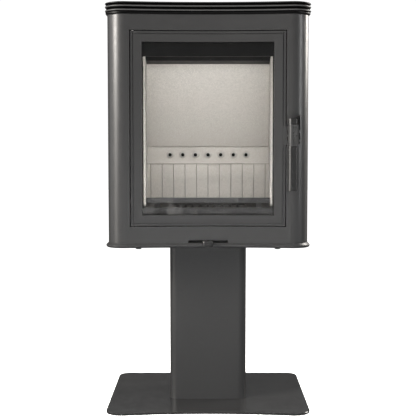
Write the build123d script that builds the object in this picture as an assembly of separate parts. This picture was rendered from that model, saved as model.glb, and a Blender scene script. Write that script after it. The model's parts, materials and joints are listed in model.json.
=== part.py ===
from build123d import *
from math import atan2, degrees, sqrt
import os

# A wood burning stove on a pedestal.
# Frame: X to the right, the door faces -Y, +Z up. The origin is on the floor, at the middle of
# the base plate. Sizes are in millimetres. "Depth" is the distance behind the curved front.

# ---- driving dimensions ---------------------------------------------------------------------
BASE_W = 514.0
BASE_D = 442.0
BASE_T = 6.0
FRONT_R = 1400.0          # radius of the hollow curve of every front face
BODY_W = 504.0
BODY_FRONT = -185.0       # foremost line of the body's two rounded corners
BODY_BACK = 195.0
CORNER_R = 40.0
BACK_R = 20.0
BASE_BACK_R = 30.0
LIP = 6.0                 # how far the crown and the bottom lip stand proud

BODY_Z = 416.0            # underside of the bottom casting
FLOOR_Z = 428.0           # top of the bottom casting
CROWN_Z = 995.5
TOTAL_H = 1028.0

COLUMN_W = 200.0
COLUMN_D = 170.0
COLUMN_FRONT = -78.0
COLUMN_R = 20.0
COLUMN_WALL = 3.0
COLUMN_TOP = 410.0
COVER_HALF = 60.0         # half the width of the opening in the back of the column
COVER_Z0 = 70.0
COVER_Z1 = 270.0

SKIN = 6.0                # front casting
DOOR_HALF = 193.0
DOOR_Z0 = 471.6
DOOR_Z1 = 955.7
DOOR_GAP = 2.0
DOOR_T = 12.0
DOOR_STEP = 7.5           # lowered rim round the door's face
RIM_GROOVE_W = 1.8        # groove at the foot of the raised face
RIM_GROOVE_DEPTH = 5.0
RIB_W = 2.0               # grooves down the lower lining board
JOINT_GAP = 1.8           # shadow gap between the two rear boards
PIN_GRIP = 5.0            # how far a hinge pin goes into the door
WINDOW_HALF = 164.5
WINDOW_Z0 = 498.0
WINDOW_Z1 = 929.0
GLASS_T = 4.0
GLASS_LAP = 9.0
GLASS_SEAL = 2.0
LAND_DEPTH = 20.5         # where the door's rope seal meets the casting
LAND_HALF = 180.0
LAND_LAP = 12.5
RING_HALF = 205.0
RING_Z_LAP = 12.0
CASTING_BACK = 26.5

HINGE_X = -186.0
HINGE_DEPTH = 5.0
HINGE_PIN_R = 3.0
RUNNING = 0.05            # radial clearance of a pin in its hole

FIRE_HALF = 200.0         # inside half width of the steel firebox
FIRE_WALL = 4.0
FIRE_BACK = 165.0
FIRE_FLOOR = 486.0
FIRE_ROOF = 960.0
HEARTH_TOP = 512.0
BOARD_T = 25.0
BOARD_FACE = 120.0        # front face of the rear boards
BOARD_HALF = 197.0
SIDE_FRONT_Y = -125.0
SIDE_FRONT_X = 158.5      # inner face of a side board, front end
SIDE_BACK_X = 171.0
AIR_BOARD_Z0 = 622.0
AIR_BOARD_Z1 = 668.0
BAFFLE_Z = 898.0
HOLE_PITCH = 35.5
HOLE_COUNT = 7
HOLE_Z = 646.0
GROOVE_PITCH = 32.0
GROOVE_COUNT = 11

FLUE_Y = 60.0
FLUE_R = 75.5             # socket for a 150 mm flue pipe
FLUE_WALL = 7.5
FLUE_TOP = 1040.0
SOCKET_DEPTH = 50.0
SPIGOT_R = 50.0           # 100 mm outside air pipe
SPIGOT_Y = 7.0
SPIGOT_Z0 = 356.0
FLOOR_HOLE_R = 72.0       # hole in the base plate, for an air pipe that comes up through the floor

HANDLE_Z = 697.0          # height of the handle's pivot
HANDLE_X0 = 196.4
HANDLE_X1 = 218.0
HANDLE_Z0 = 560.0
HANDLE_Z1 = 738.5
BLOCK_X1 = 221.4
BLOCK_Z0 = 671.0
BLOCK_Z1 = 723.0
PIVOT_PROUD = 10.0
PIVOT_R = 2.5
SLOT_X0 = 217.0
SLOT_X1 = 229.0
SLOT_Z0 = 677.0
SLOT_Z1 = 747.5
EAR_X1 = 210.0
EAR_Z0 = 674.0
EAR_Z1 = 720.0
GRIP_R = 11.0             # large rounding on the handle's front left edge

SLIDER_Y0 = -150.0
SLIDER_Y1 = -100.0
SLIDER_HALF = 105.0
SLIDER_T = 2.0
AIR_HOLE_R = 14.0
AIR_HOLE_PITCH = 66.0
AIR_SLOT_HALF = 50.0

# ---- values worked out from them ------------------------------------------------------------
CORNER_X = BODY_W / 2 - CORNER_R
CORNER_Y = BODY_FRONT + CORNER_R
ARC_Y = CORNER_Y - sqrt((FRONT_R + CORNER_R) ** 2 - CORNER_X**2)


def front_y(x, depth=0.0):
    """Y of the body's hollow front at x, or of a surface that lies depth behind it."""
    return ARC_Y + sqrt((FRONT_R + depth) ** 2 - x**2)


HINGE_Y = front_y(HINGE_X, HINGE_DEPTH)
HANDLE_Y = front_y(207.0)
PIVOT_Y = HANDLE_Y - PIVOT_PROUD


# ---- shape helpers --------------------------------------------------------------------------
def block(x0, x1, y0, y1, z0, z1):
    """Box between two corners."""
    return Pos((x0 + x1) / 2, (y0 + y1) / 2, (z0 + z1) / 2) * Box(x1 - x0, y1 - y0, z1 - z0)


def rod_z(x, y, z0, z1, radius):
    return Pos(x, y, (z0 + z1) / 2) * Cylinder(radius, z1 - z0)


def rod_y(x, z, y0, y1, radius):
    return Pos(x, (y0 + y1) / 2, z) * Rot(90, 0, 0) * Cylinder(radius, y1 - y0)


def rod_x(y, z, x0, x1, radius):
    return Pos((x0 + x1) / 2, y, z) * Rot(0, 90, 0) * Cylinder(radius, x1 - x0)


def curved_slab(near, far, x0, x1, z0, z1):
    """Slab that follows the hollow front between two depths."""
    middle = (x0 + x1) / 2
    outer = ThreePointArc(*[(x, front_y(x, near)) for x in (x0, middle, x1)])
    inner = ThreePointArc(*[(x, front_y(x, far)) for x in (x1, middle, x0)])
    face = make_face([outer, Line(outer @ 1, inner @ 0), inner, Line(inner @ 1, outer @ 0)])
    return Pos(0, 0, z0) * extrude(face, z1 - z0)


def front_plate(depth, back, half, z0, z1):
    """Slab with a hollow front edge at a depth and a straight back edge."""
    arc = ThreePointArc(*[(x, front_y(x, depth)) for x in (-half, 0, half)])
    rest = Polyline(arc @ 1, (half, back), (-half, back), arc @ 0)
    return Pos(0, 0, z0) * extrude(make_face([arc, rest]), z1 - z0)


def stove_prism(width, front, back, corner, back_corner, z0, z1, proud=0.0):
    """Prism with a hollow front, two large front corners tangent to it and two back corners.

    proud moves the whole outline out (or in, if negative) by that distance.
    """
    cx = width / 2 - corner
    cy = front + corner
    arc_y = cy - sqrt((FRONT_R + corner) ** 2 - cx**2)
    share = (FRONT_R - proud) / (FRONT_R + corner)
    touch = (cx * share, arc_y + (cy - arc_y) * share)
    half = width / 2 + proud
    end = back + proud
    radius = back_corner + proud
    sweep = -degrees(atan2(arc_y - cy, -cx))
    edges = [
        ThreePointArc((-touch[0], touch[1]), (0, arc_y + FRONT_R - proud), touch),
        CenterArc((cx, cy), corner + proud, -sweep, sweep),
        Line((half, cy), (half, end - radius)),
        CenterArc((half - radius, end - radius), radius, 0, 90),
        Line((half - radius, end), (-half + radius, end)),
        CenterArc((-half + radius, end - radius), radius, 90, 90),
        Line((-half, end - radius), (-half, cy)),
        CenterArc((-cx, cy), corner + proud, 180, sweep),
    ]
    return Pos(0, 0, z0) * extrude(make_face(edges), z1 - z0)


def body_prism(z0, z1, proud=0.0):
    """Prism of the body's own outline."""
    return stove_prism(BODY_W, BODY_FRONT, BODY_BACK, CORNER_R, BACK_R, z0, z1, proud)


def edges_at(shape, z):
    """Edges that lie flat at height z."""
    return [
        e for e in shape.edges()
        if abs(e.bounding_box().min.Z - z) < 0.01 and e.bounding_box().size.Z < 0.01
    ]


def hex_bolt_down(x, y, top, length, radius, head):
    """Bolt that hangs from its thread, with its hexagonal head at the bottom."""
    head_shape = Pos(x, y, top - length - head) * extrude(RegularPolygon(radius * 1.8, 6), head)
    return head_shape + rod_z(x, y, top - length, top, radius)


def save(name, *solids):
    """Write one node as one STEP file; separate pieces of one kind stay separate solids."""
    shape = solids[0] if len(solids) == 1 else Compound(children=list(solids))
    shape.label = name
    export_step(shape, f"parts/{name}.step")


# ---- pedestal and base ----------------------------------------------------------------------
def make_pedestal():
    base = stove_prism(BASE_W, -BASE_D / 2, BASE_D / 2, CORNER_R, BASE_BACK_R, 0, BASE_T)
    base = chamfer(edges_at(base, BASE_T), 1.0)
    save("base_plate", base - rod_z(0, SPIGOT_Y, -1, BASE_T + 1, FLOOR_HOLE_R))

    middle_y = COLUMN_FRONT + COLUMN_D / 2
    outline = RectangleRounded(COLUMN_W, COLUMN_D, COLUMN_R)
    inner_w = COLUMN_W - 2 * COLUMN_WALL
    inner_d = COLUMN_D - 2 * COLUMN_WALL
    tall = COLUMN_TOP - BASE_T
    tube = extrude(outline, tall)
    tube -= extrude(RectangleRounded(inner_w, inner_d, COLUMN_R - COLUMN_WALL), tall)
    column = Pos(0, middle_y, BASE_T) * tube
    back = COLUMN_FRONT + COLUMN_D
    column -= block(-COVER_HALF, COVER_HALF, back - 10, back + 10, COVER_Z0, COVER_Z1)
    screw_places = [(sx * (COVER_HALF + 8), z) for sx in (-1, 1) for z in (COVER_Z0 + 12, COVER_Z1 - 12)]
    for x, z in screw_places:
        column -= rod_y(x, z, back - 10, back + 10, 2.0)
    save("pedestal_column", column)

    cover = block(-COVER_HALF - 16, COVER_HALF + 16, back, back + 2, COVER_Z0 - 16, COVER_Z1 + 16)
    cover = fillet(cover.edges().filter_by(Axis.Y), 8)
    for x, z in screw_places:
        cover -= rod_y(x, z, back - 1, back + 3, 2.2)
    save("pedestal_rear_cover", cover)
    screws = [
        rod_y(x, z, back - 8, back + 2, 1.95) + rod_y(x, z, back + 2, back + 4.5, 4.0)
        - rod_y(x, z, back + 3, back + 5, 1.8)
        for x, z in screw_places
    ]
    save("pedestal_cover_screws", *screws)

    head = Pos(0, middle_y, COLUMN_TOP) * extrude(outline, BODY_Z - COLUMN_TOP)
    head -= rod_z(0, SPIGOT_Y, COLUMN_TOP - 1, BODY_Z + 1, SPIGOT_R + 2)
    bolt_places = [(sx * 72, middle_y + sy * 58) for sx in (-1, 1) for sy in (-1, 1)]
    for x, y in bolt_places:
        head -= rod_z(x, y, COLUMN_TOP - 1, BODY_Z + 1, 5.2)
    save("pedestal_top_plate", head)
    save("pedestal_bolts", *[hex_bolt_down(x, y, FLOOR_Z - 2, 16, 5.0, 6.5) for x, y in bolt_places])
    return bolt_places


# ---- bottom casting, air inlet and slider ---------------------------------------------------
def make_bottom(bolt_places):
    casting = body_prism(BODY_Z, FLOOR_Z, LIP)
    casting = chamfer(edges_at(casting, FLOOR_Z), 5.0)
    casting = fillet(edges_at(casting, BODY_Z), 5.0)
    slider_y = (SLIDER_Y0 + SLIDER_Y1) / 2
    for i in (-1, 0, 1):
        casting -= rod_z(i * AIR_HOLE_PITCH, slider_y, BODY_Z - 1, FLOOR_Z + 1, AIR_HOLE_R)
    casting -= rod_z(0, SPIGOT_Y, BODY_Z - 1, FLOOR_Z + 1, SPIGOT_R - 2)
    for x, y in bolt_places:
        casting -= rod_z(x, y, BODY_Z - 1, FLOOR_Z - 2, 5.0)
    front_bolts = [(sx * 175.0, front_y(175.0, 14)) for sx in (-1, 1)]
    side_bolts = [(sx * 236.0, y) for sx in (-1, 1) for y in (-60.0, 120.0)]
    for x, y in front_bolts + side_bolts:
        casting -= rod_z(x, y, BODY_Z - 1, FLOOR_Z + 1, 4.0)
    save("bottom_casting", casting)
    bolts = [hex_bolt_down(x, y, FLOOR_Z, 12, 3.95, 4.0) for x, y in front_bolts + side_bolts]
    save("casting_bolts", *bolts)

    spigot = rod_z(0, SPIGOT_Y, SPIGOT_Z0, BODY_Z, SPIGOT_R)
    save("outside_air_spigot", spigot - rod_z(0, SPIGOT_Y, SPIGOT_Z0 - 1, BODY_Z + 1, SPIGOT_R - 2))

    slider = block(-SLIDER_HALF, SLIDER_HALF, SLIDER_Y0, SLIDER_Y1, FLOOR_Z + 0.3, FLOOR_Z + 0.3 + SLIDER_T)
    for i in (-1, 0, 1):
        slider -= rod_z(i * AIR_HOLE_PITCH, slider_y, FLOOR_Z, FLOOR_Z + 5, AIR_HOLE_R)
    save("air_slider_plate", slider)
    knob_front = front_y(0) - 20
    lever_z = FLOOR_Z + 0.3 + SLIDER_T
    save("air_lever", block(-4, 4, knob_front + 6, SLIDER_Y0 + 14, lever_z, lever_z + 2))
    knob = block(-12.5, 12.5, knob_front, knob_front + 12, 419.0, 434.0)
    knob = fillet(knob.edges(), 2.5)
    save("air_lever_knob", knob - block(-4, 4, knob_front + 6, knob_front + 20, lever_z, lever_z + 2))
    guides = []
    for y0, y1, lip_y0, lip_y1 in ((SLIDER_Y1 + 0.5, SLIDER_Y1 + 8, SLIDER_Y1 - 3, SLIDER_Y1 + 8),
                                   (SLIDER_Y0 - 4, SLIDER_Y0 - 0.5, SLIDER_Y0 - 4, SLIDER_Y0 + 3)):
        for x0, x1 in ((-150, -50), (50, 150)):
            post = block(x0, x1, y0, y1, FLOOR_Z, FLOOR_Z + 3)
            guides.append(post + block(x0, x1, lip_y0, lip_y1, FLOOR_Z + 3, FLOOR_Z + 4.5))
    save("air_slider_guides", *guides)


# ---- front casting and body panels ----------------------------------------------------------
def make_front():
    shell = body_prism(FLOOR_Z, CROWN_Z) - body_prism(FLOOR_Z - 1, CROWN_Z + 1, -SKIN)
    shell &= block(-300, 300, -300, -120, FLOOR_Z, CROWN_Z)
    ring_z0 = DOOR_Z0 - DOOR_GAP - RING_Z_LAP
    ring_z1 = DOOR_Z1 + DOOR_GAP + RING_Z_LAP
    shell += curved_slab(SKIN - 1, CASTING_BACK, -RING_HALF, RING_HALF, ring_z0, ring_z1)
    shell -= curved_slab(
        -5, LAND_DEPTH, -DOOR_HALF - DOOR_GAP, DOOR_HALF + DOOR_GAP, DOOR_Z0 - DOOR_GAP, DOOR_Z1 + DOOR_GAP
    )
    shell -= block(-LAND_HALF, LAND_HALF, -300, -100, DOOR_Z0 + LAND_LAP, DOOR_Z1 - LAND_LAP)
    shell -= curved_slab(-5, LAND_DEPTH, DOOR_HALF, EAR_X1 + 1.5, EAR_Z0 - 2, EAR_Z1 + 2)
    shell -= block(SLOT_X0, SLOT_X1, -300, -160, SLOT_Z0, SLOT_Z1)
    shell -= curved_slab(-5, 8, -AIR_SLOT_HALF, AIR_SLOT_HALF, FLOOR_Z - 1, FLOOR_Z + 6)
    shell -= curved_slab(-5, 2, -AIR_SLOT_HALF, AIR_SLOT_HALF, FLOOR_Z, FLOOR_Z + 10)
    for z0 in (DOOR_Z0 - 14, DOOR_Z1):
        shell -= rod_z(HINGE_X, HINGE_Y, z0 - 4, z0 + 16, HINGE_PIN_R + 0.02)
    for side in (-1, 1):
        x = side * 175
        shell += block(x - 12, x + 12, front_y(x, 5), front_y(x, 26), FLOOR_Z, FLOOR_Z + 6)
    save("front_casting", shell)

    pins = []
    for z_out, z_in in ((DOOR_Z0 - 14, DOOR_Z0 + PIN_GRIP), (DOOR_Z1 + 14, DOOR_Z1 - PIN_GRIP)):
        pins.append(rod_z(HINGE_X, HINGE_Y, min(z_out, z_in), max(z_out, z_in), HINGE_PIN_R))
    save("hinge_pins", *pins)

    inside = body_prism(SLOT_Z1 - 6, SLOT_Z1 + 22, -SKIN)
    keeper = inside - body_prism(SLOT_Z1 - 7, SLOT_Z1 + 23, -SKIN - 3)
    keeper &= block(212, 232, -200, -165, SLOT_Z1 + 0.5, SLOT_Z1 + 22)
    tongue = inside & block(214, 230, -190, HANDLE_Y + 13, SLOT_Z1 - 5, SLOT_Z1 + 6)
    save("latch_keeper", keeper + tongue)


def make_panels():
    for name, side in (("left_side_panel", -1), ("right_side_panel", 1)):
        outer = side * BODY_W / 2
        inner = outer - side * 3
        sheet = block(min(outer, inner), max(outer, inner), -119.0, BODY_BACK - 3, FLOOR_Z, CROWN_Z)
        flange_x = outer - side * 22
        low, high = min(outer, flange_x), max(outer, flange_x)
        sheet += block(low, high, -119.0, -116.0, FLOOR_Z, CROWN_Z)
        sheet += block(low, high, BODY_BACK - 6, BODY_BACK - 3, FLOOR_Z, CROWN_Z)
        for i in range(6):
            y = -64.0 + i * 42.0
            slot = block(outer - 10, outer + 10, y - 12, y + 12, CROWN_Z - 36, CROWN_Z - 28)
            sheet -= fillet(slot.edges().filter_by(Axis.X), 3.9)
        save(name, sheet)

    back = block(-BODY_W / 2, BODY_W / 2, BODY_BACK - 3, BODY_BACK, FLOOR_Z, CROWN_Z)
    back = fillet(back.edges().filter_by(Axis.Z).sort_by(Axis.Y)[-2:], 2.5)
    shield_screws = [(sx * 190.0, z) for sx in (-1, 1) for z in (500.0, 930.0)]
    for x, z in shield_screws:
        back -= rod_y(x, z, BODY_BACK - 10, BODY_BACK + 10, 2.5)
    save("rear_panel", back)

    shield_y = BODY_BACK + 12
    shield = block(-215, 215, shield_y, shield_y + 2, 450, 975)
    for sx in (-1, 1):
        shield += block(min(sx * 215, sx * 213), max(sx * 215, sx * 213), shield_y - 8, shield_y, 450, 975)
    for x, z in shield_screws:
        shield -= rod_y(x, z, shield_y - 10, shield_y + 10, 2.7)
    save("rear_heat_shield", shield)
    screws = []
    for x, z in shield_screws:
        spacer = rod_y(x, z, BODY_BACK, shield_y, 7.0)
        head = rod_y(x, z, shield_y + 2, shield_y + 5, 5.0) - rod_y(x, z, shield_y + 4, shield_y + 6, 2.4)
        screws.append(spacer + rod_y(x, z, BODY_BACK - 8, shield_y + 2, 2.45) + head)
    save("heat_shield_screws", *screws)


# ---- crown, top plate and flue collar -------------------------------------------------------
def make_top():
    crown = body_prism(CROWN_Z, CROWN_Z + 7, LIP - 1.5)
    crown = chamfer(edges_at(crown, CROWN_Z), 4.4)
    bead_z = (CROWN_Z + 6.3, CROWN_Z + 16.3, CROWN_Z + 26.3)
    for z in bead_z:
        top = min(z + 9.4, TOTAL_H)
        bead = body_prism(z, top, LIP)
        bead = fillet(edges_at(bead, z) + edges_at(bead, top), (top - z) / 2 - 0.15)
        crown += bead
    crown += body_prism(CROWN_Z + 5, TOTAL_H - 1, LIP - 3.4)
    crown -= body_prism(CROWN_Z - 1, TOTAL_H + 1, -12)
    crown -= body_prism(TOTAL_H - 8, TOTAL_H + 1, -8)
    save("crown", crown)

    top = body_prism(TOTAL_H - 8, TOTAL_H - 2, -8.5)
    top -= rod_z(0, FLUE_Y, TOTAL_H - 10, TOTAL_H, FLUE_R + FLUE_WALL + 1)
    ring = FLUE_R + 16
    places = [(ring, FLUE_Y), (-ring, FLUE_Y), (0.0, FLUE_Y + ring), (0.0, FLUE_Y - ring)]

    collar = rod_z(0, FLUE_Y, FIRE_ROOF + FIRE_WALL, FLUE_TOP, FLUE_R + FLUE_WALL)
    collar += rod_z(0, FLUE_Y, TOTAL_H - 2, TOTAL_H + 4, FLUE_R + 22)
    collar = fillet(edges_at(collar, FLUE_TOP), 2.0)
    collar += rod_z(0, FLUE_Y, FIRE_ROOF + FIRE_WALL, FIRE_ROOF + FIRE_WALL + 6, FLUE_R + 22)
    collar -= rod_z(0, FLUE_Y, FLUE_TOP - SOCKET_DEPTH, FLUE_TOP + 1, FLUE_R)
    collar -= rod_z(0, FLUE_Y, FIRE_ROOF, FLUE_TOP, FLUE_R - 5)
    save("top_plate", top - Compound(children=[rod_z(x, y, TOTAL_H - 9, TOTAL_H, 2.6) for x, y in places]))
    for x, y in places:
        collar -= rod_z(x, y, TOTAL_H - 3, TOTAL_H + 5, 2.6)
    save("flue_collar", collar)
    screws = [
        rod_z(x, y, TOTAL_H - 8, TOTAL_H + 4, 2.55) + rod_z(x, y, TOTAL_H + 4, TOTAL_H + 7, 4.5)
        - rod_z(x, y, TOTAL_H + 6, TOTAL_H + 8, 2.2)
        for x, y in places
    ]
    save("flue_collar_screws", *screws)


# ---- firebox --------------------------------------------------------------------------------
def make_firebox():
    front_edge = front_y(FIRE_HALF, CASTING_BACK) + 0.1
    for name, side in (("firebox_left_wall", -1), ("firebox_right_wall", 1)):
        a, b = sorted((side * FIRE_HALF, side * (FIRE_HALF + FIRE_WALL)))
        save(name, block(a, b, front_edge, FIRE_BACK, FLOOR_Z, FIRE_ROOF))
    outer = FIRE_HALF + FIRE_WALL
    save("firebox_rear_wall", block(-outer, outer, FIRE_BACK, FIRE_BACK + FIRE_WALL, FLOOR_Z, FIRE_ROOF))
    roof = front_plate(CASTING_BACK, FIRE_BACK + FIRE_WALL, outer, FIRE_ROOF, FIRE_ROOF + FIRE_WALL)
    save("firebox_roof", roof - rod_z(0, FLUE_Y, FIRE_ROOF - 1, FIRE_ROOF + 5, FLUE_R - 5))
    floor = front_plate(CASTING_BACK, FIRE_BACK - 20, FIRE_HALF, FIRE_FLOOR, FIRE_FLOOR + FIRE_WALL)
    save("firebox_floor", floor - block(-92, 92, -72, 72, FIRE_FLOOR - 1, FIRE_FLOOR + 5))

    duct = block(-140, 140, FIRE_BACK - 20, FIRE_BACK, FLOOR_Z, 690)
    duct -= block(-138, 138, FIRE_BACK - 18, FIRE_BACK - 2, FLOOR_Z - 1, 688)
    for x in hole_places():
        duct -= rod_y(x, HOLE_Z, FIRE_BACK - 25, FIRE_BACK - 10, 6.0)
    save("secondary_air_duct", duct)

    base = FIRE_FLOOR + FIRE_WALL
    side_y = -118.0
    hearth = {
        "hearth_front_board": (-FIRE_HALF + 1, FIRE_HALF - 1, side_y, -81.0),
        "hearth_rear_board": (-FIRE_HALF + 1, FIRE_HALF - 1, 81.0, FIRE_BACK - 20.5),
        "hearth_left_board": (-FIRE_HALF + 1, -101.0, -80.5, 80.5),
        "hearth_right_board": (101.0, FIRE_HALF - 1, -80.5, 80.5),
    }
    for name, (x0, x1, y0, y1) in hearth.items():
        save(name, block(x0, x1, y0, y1, base, HEARTH_TOP))

    grate = block(-100, 100, -80, 80, base, base + 18)
    for i in range(9):
        x = -80 + 20 * i
        slot = block(x - 4, x + 4, -66, 66, base - 1, base + 19)
        grate -= fillet(slot.edges().filter_by(Axis.Z), 3.9)
    save("grate", grate)

    rails = []
    for side in (-1, 1):
        a, b = sorted((side * 108, side * 122))
        foot = block(a, b, -80, 130, FLOOR_Z, FLOOR_Z + 2)
        web = block(side * 115 - 2, side * 115 + 2, -80, 130, FLOOR_Z, FLOOR_Z + 8)
        rails.append(foot + web + block(a, b, -80, 130, FLOOR_Z + 6, FLOOR_Z + 8))
    save("ash_pan_rails", *rails)
    pan = block(-118, 118, -78, 124, FLOOR_Z + 8, 480)
    pan -= block(-116.5, 116.5, -76.5, 122.5, FLOOR_Z + 9.5, 481)
    pan += block(-40, 40, -86, -78, 466, 468) + block(-40, 40, -88, -86, 458, 468)
    save("ash_pan", pan)


def hole_places():
    """X of each secondary air hole."""
    return [(i - (HOLE_COUNT - 1) / 2) * HOLE_PITCH for i in range(HOLE_COUNT)]


def make_lining():
    back = BOARD_FACE + BOARD_T
    ribbed = block(-BOARD_HALF, BOARD_HALF, BOARD_FACE, back, HEARTH_TOP, AIR_BOARD_Z0)
    for i in range(GROOVE_COUNT):
        x = (i - (GROOVE_COUNT - 1) / 2) * GROOVE_PITCH
        left, right = x - RIB_W / 2, x + RIB_W / 2
        ribbed -= block(left, right, BOARD_FACE - 1, BOARD_FACE + 2, HEARTH_TOP + 8, AIR_BOARD_Z0)
    ribbed -= block(-200, 200, BOARD_FACE - 1, BOARD_FACE + 4, AIR_BOARD_Z0 - JOINT_GAP, AIR_BOARD_Z0 + 1)
    save("rear_ribbed_board", ribbed)

    proud = BOARD_FACE - 6
    air = block(-BOARD_HALF, BOARD_HALF, BOARD_FACE, back, AIR_BOARD_Z0, AIR_BOARD_Z1)
    air += block(-SIDE_BACK_X + 1, SIDE_BACK_X - 1, proud, BOARD_FACE, AIR_BOARD_Z0, AIR_BOARD_Z1)
    for x in hole_places():
        air -= rod_y(x, HOLE_Z, proud - 1, back + 1, 5.0)
        air -= Pos(x, proud + 2.4, HOLE_Z) * Rot(90, 0, 0) * Cone(5.0, 10.0, 5.0)
    save("rear_air_board", air)
    save("rear_upper_board", block(-BOARD_HALF, BOARD_HALF, BOARD_FACE, back, AIR_BOARD_Z1, BAFFLE_Z))

    for name, side in (("left_side_board", -1), ("right_side_board", 1)):
        outline = [
            (side * SIDE_FRONT_X, SIDE_FRONT_Y),
            (side * SIDE_BACK_X, BOARD_FACE),
            (side * BOARD_HALF, BOARD_FACE),
            (side * (SIDE_FRONT_X + BOARD_T), SIDE_FRONT_Y),
        ]
        face = make_face(Polyline(*outline, close=True))
        save(name, Pos(0, 0, HEARTH_TOP) * extrude(face, BAFFLE_Z - HEARTH_TOP, dir=(0, 0, 1)))
    save("baffle_board", block(-BOARD_HALF, BOARD_HALF, 10.0, back, BAFFLE_Z, BAFFLE_Z + BOARD_T))

    retainers = []
    for side in (-1, 1):
        a, b = sorted((side * 164.4, side * (FIRE_HALF - 0.2)))
        plate = block(a, b, SIDE_FRONT_Y - 2, SIDE_FRONT_Y, HEARTH_TOP, BAFFLE_Z + 20)
        a, b = sorted((side * (FIRE_HALF - 2.2), side * (FIRE_HALF - 0.2)))
        retainers.append(plate + block(a, b, SIDE_FRONT_Y - 2, SIDE_FRONT_Y + 16, HEARTH_TOP, BAFFLE_Z + 20))
    save("board_retainers", *retainers)

    guard = block(-158.8, 158.8, -113, -107, 525, 538.6)
    guard = fillet(guard.edges().filter_by(Axis.X), 2.0)
    for side in (-1, 1):
        guard += block(side * 130 - 7, side * 130 + 7, -107.5, -104.5, HEARTH_TOP, 536)
    save("log_guard", guard)

    sill = curved_slab(22, 30, -174, 174, FIRE_FLOOR + FIRE_WALL, 516)
    sill += curved_slab(29, 44, -174, 174, 513, 516)
    save("hearth_sill", sill)

    deflector = curved_slab(CASTING_BACK, CASTING_BACK + 2, -178, 178, 896, FIRE_ROOF - 1)
    deflector += curved_slab(CASTING_BACK, CASTING_BACK + 12, -178, 178, 896, 898)
    save("airwash_deflector", deflector)


# ---- door -----------------------------------------------------------------------------------
def frame_ring(near, far, half, z0, z1, inner_half, inner_z0, inner_z1):
    """Curved slab with a rectangular window."""
    ring = curved_slab(near, far, -half, half, z0, z1)
    return ring - block(-inner_half, inner_half, -300, -100, inner_z0, inner_z1)


def make_door():
    step = DOOR_STEP
    frame = curved_slab(2, DOOR_T, -DOOR_HALF, DOOR_HALF, DOOR_Z0, DOOR_Z1)
    raised_half = DOOR_HALF - step
    raised_z0 = DOOR_Z0 + step
    raised_z1 = DOOR_Z1 - step
    frame += curved_slab(0, 3, -raised_half, raised_half, raised_z0, raised_z1)
    outer_half = raised_half + RIM_GROOVE_W
    outer_z0 = raised_z0 - RIM_GROOVE_W
    outer_z1 = raised_z1 + RIM_GROOVE_W
    groove = curved_slab(-1, RIM_GROOVE_DEPTH, -outer_half, outer_half, outer_z0, outer_z1)
    frame -= groove - curved_slab(-2, RIM_GROOVE_DEPTH + 1, -raised_half, raised_half, raised_z0, raised_z1)
    frame -= block(-WINDOW_HALF, WINDOW_HALF, -300, -100, WINDOW_Z0, WINDOW_Z1)
    frame += curved_slab(0, DOOR_T, DOOR_HALF - 12, EAR_X1, EAR_Z0, EAR_Z1)
    for z in (DOOR_Z0, DOOR_Z1):
        frame -= rod_z(HINGE_X, HINGE_Y, z - PIN_GRIP - 0.5, z + PIN_GRIP + 0.5, HINGE_PIN_R + RUNNING)
    for x, z in clip_screw_places():
        frame -= rod_y(x, z, front_y(x, 7), front_y(x, 30), 1.5)
    save("door_frame", frame)

    glass_half = WINDOW_HALF + GLASS_LAP
    glass_z0 = WINDOW_Z0 - GLASS_LAP
    glass_z1 = WINDOW_Z1 + GLASS_LAP
    glass_near = DOOR_T + GLASS_SEAL
    glass_far = glass_near + GLASS_T
    save("door_glass", curved_slab(glass_near, glass_far, -glass_half, glass_half, glass_z0, glass_z1))
    seal = frame_ring(DOOR_T, glass_near, glass_half, glass_z0, glass_z1,
                      WINDOW_HALF + 1, WINDOW_Z0 - 1, WINDOW_Z1 + 1)
    save("glass_seal", seal)

    clips = []
    for side in (-1, 1):
        a, b = sorted((side * 166.5, side * 179.0))
        clips.append(curved_slab(glass_far, glass_far + 2, a, b, glass_z0 + 12, glass_z1 - 12))
    for z0, z1 in ((glass_z0 - 4, glass_z0 + 7), (glass_z1 - 7, glass_z1 + 4)):
        clips.append(curved_slab(glass_far, glass_far + 2, -179.0, 179.0, z0, z1))
    screws = []
    for x, z in clip_screw_places():
        hole = rod_y(x, z, front_y(x, 6), front_y(x, 30), 1.5)
        clips = [clip - hole for clip in clips]
        screws.append(rod_y(x, z, front_y(x, 7), front_y(x, glass_far + 2), 1.45))
    save("glass_clips", *clips)
    save("glass_clip_screws", *screws)

    rope_z0 = DOOR_Z0 + 1.5
    rope_z1 = DOOR_Z1 - 1.5
    rope = frame_ring(DOOR_T, DOOR_T + 7, 191.5, rope_z0, rope_z1, 182.5, rope_z0 + 9, rope_z1 - 9)
    save("door_rope_seal", rope)

    clevis = curved_slab(-3, 0, 196.0, EAR_X1 - 0.5, 684.0, 710.0)
    for x0, x1 in ((196.9, 199.9), (206.1, 209.1)):
        cheek = block(x0, x1, PIVOT_Y, HANDLE_Y - 1.5, HANDLE_Z - 6.5, HANDLE_Z + 6.5)
        clevis += cheek + rod_x(PIVOT_Y, HANDLE_Z, x0, x1, 6.5)
    clevis -= rod_x(PIVOT_Y, HANDLE_Z, 190, 215, PIVOT_R + 0.02)
    save("handle_clevis", clevis)
    pin = rod_x(PIVOT_Y, HANDLE_Z, 196.6, 209.4, PIVOT_R) + rod_x(PIVOT_Y, HANDLE_Z, 209.1, 210.6, 3.8)
    save("handle_pivot_pin", pin)


def clip_screw_places():
    """Where the glass clips are screwed to the door frame."""
    sides = [(sx * 176.4, z) for sx in (-1, 1) for z in (560.0, 713.5, 867.0)]
    heights = (WINDOW_Z0 - GLASS_LAP - 2.2, WINDOW_Z1 + GLASS_LAP + 2.2)
    flats = [(x, z) for x in (-90.0, 90.0) for z in heights]
    return sides + flats


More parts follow.
